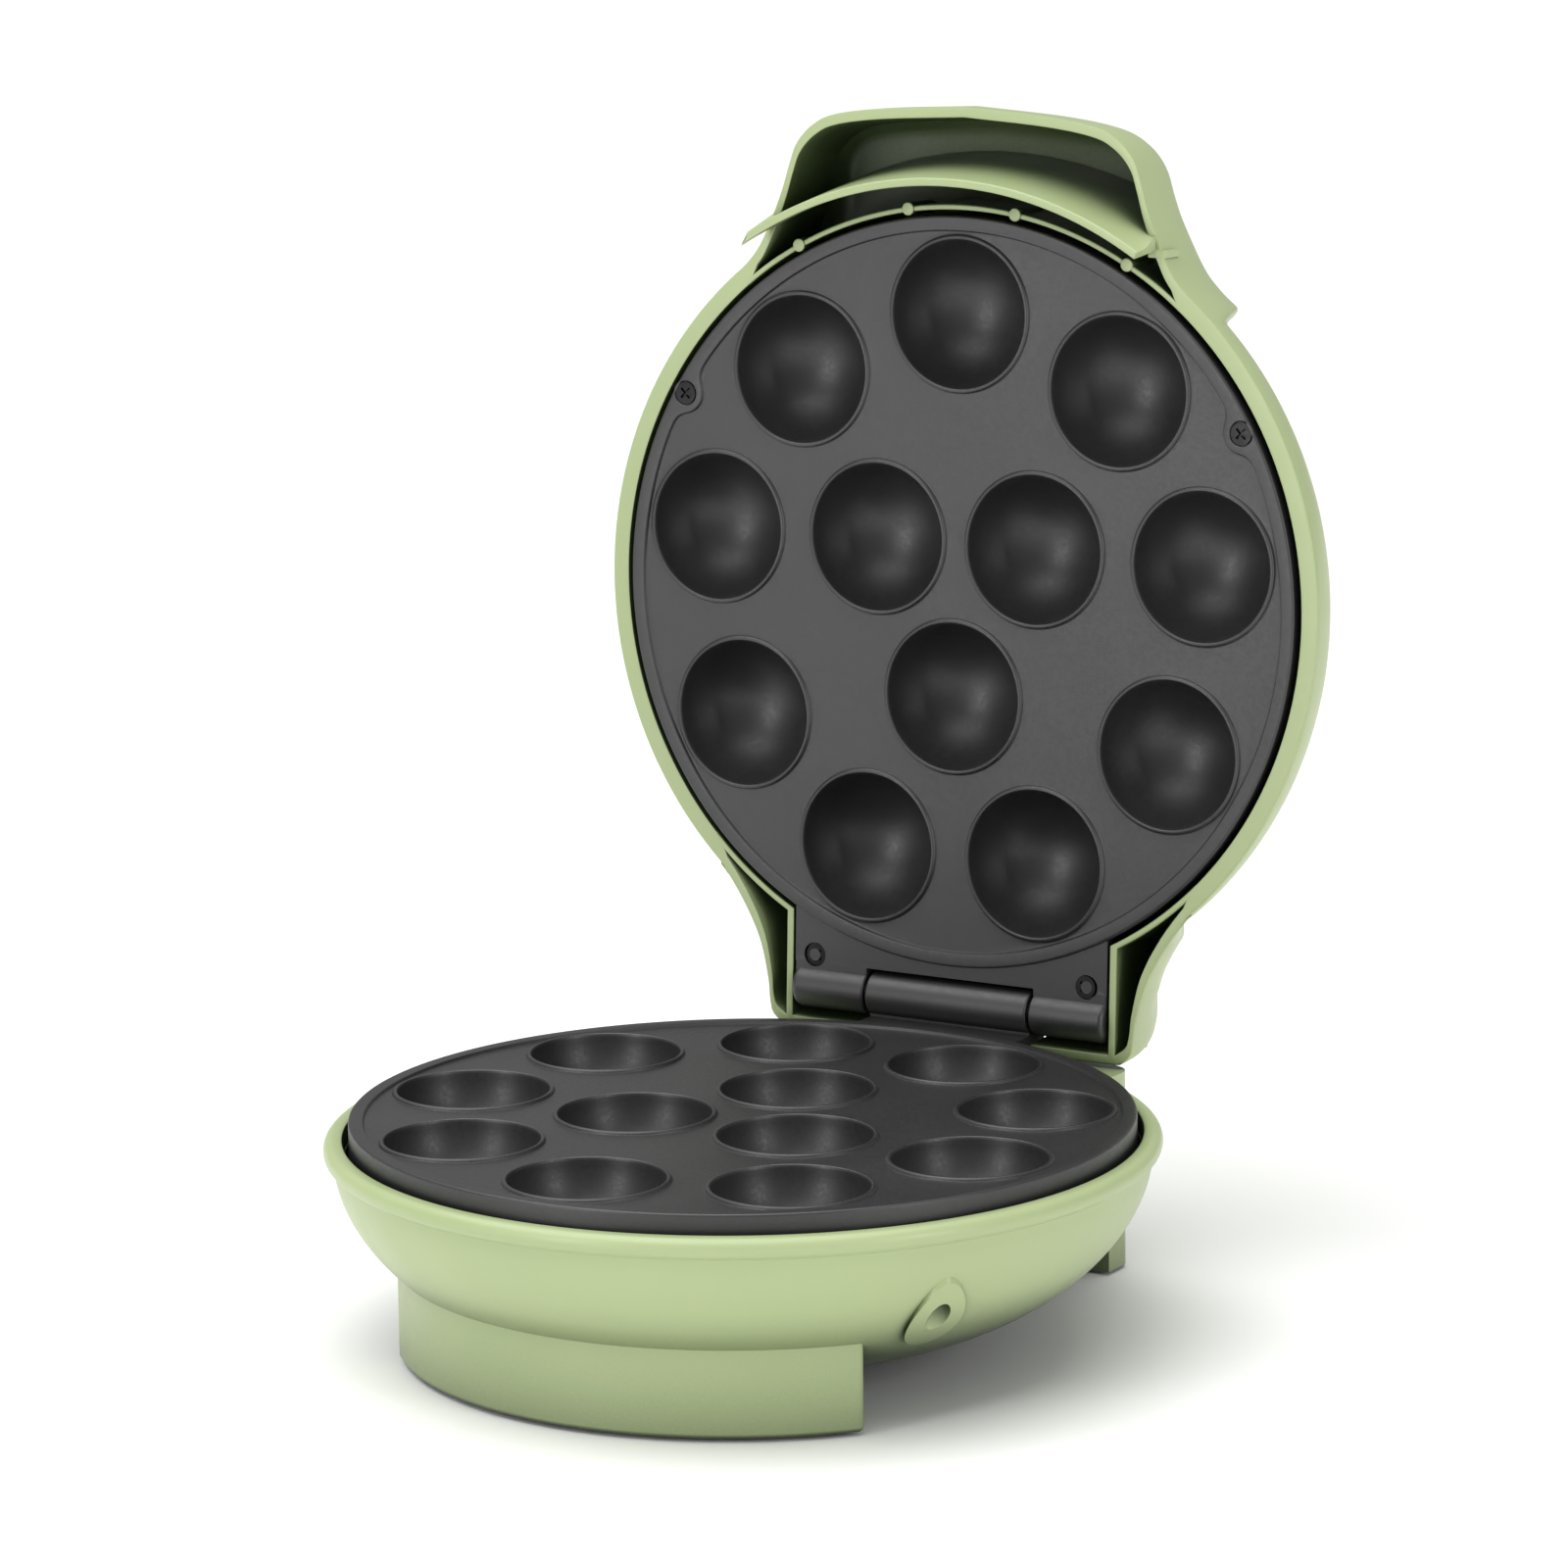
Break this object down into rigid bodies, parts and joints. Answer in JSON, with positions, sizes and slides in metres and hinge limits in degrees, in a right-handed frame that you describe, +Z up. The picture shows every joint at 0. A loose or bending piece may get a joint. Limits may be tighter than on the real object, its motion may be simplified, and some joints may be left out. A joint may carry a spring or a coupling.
{
  "type": "donut maker",
  "caption": "Clam-shell electric maker for ball-shaped doughnuts: bowl-shaped base, domed lid with hooded handle, round non-stick plates with hemispherical cavities, rear hinge.",
  "frame": {"origin": "middle of the open object's footprint, on the surface it stands on", "axes": "+Z up, +X to the right-hand side, -Y to the front with the handle; the hinge's axis is along X at the back"},
  "size_m": [0.2066, 0.2541, 0.2951],
  "materials": {
    "housing_green": "satin moulded",
    "nonstick_black": "black non-stick coating on die-cast aluminium",
    "rubber_grey": "matte",
    "screw_black": "black oxide",
    "screw_steel": "zinc plated",
    "element_steel": "heat-tinted",
    "reflector_sheet": "aluminised sheet",
    "phenolic_brown": "phenolic",
    "ceramic_white": "matte",
    "wire_sleeve": "glass-fibre sleeved wire",
    "pin_steel": "ground",
    "lens_red": "translucent",
    "lens_green": "translucent",
    "neon_glass": "clear"
  },
  "bodies": {
    "base": {"base_housing": "housing_green", "front_foot_pads": "rubber_grey", "rear_foot_pads": "rubber_grey", "lower_plate": "nonstick_black", "lower_plate_screws": "screw_steel", "lower_leaf_screws": "screw_steel", "lower_element": "element_steel", "lower_element_clips": "screw_steel", "lower_reflector": "reflector_sheet", "lower_reflector_screws": "screw_steel", "thermostat": "phenolic_brown", "lower_fuse": "ceramic_white", "terminal_block": "ceramic_white", "base_wiring": "wire_sleeve", "cord_inlet": "rubber_grey", "hinge_pin": "pin_steel"},
    "lid": {"lid_housing": "housing_green", "upper_plate": "nonstick_black", "ear_screws": "screw_black", "tab_screws": "screw_black", "upper_element": "element_steel", "upper_element_clips": "screw_steel", "upper_reflector": "reflector_sheet", "upper_reflector_screws": "screw_steel", "upper_fuse": "ceramic_white", "lid_wiring": "wire_sleeve", "lamp_holder": "ceramic_white", "neon_lamps": "neon_glass", "power_lens": "lens_red", "ready_lens": "lens_green"}
  },
  "joints": [
    {"name": "lid_hinge", "type": "hinge", "parent": "base", "child": "lid", "pos_m": [0, 0.08344, 0.0635], "axis": [1, 0, 0], "range_deg": [0, 92.7]}
  ]
}
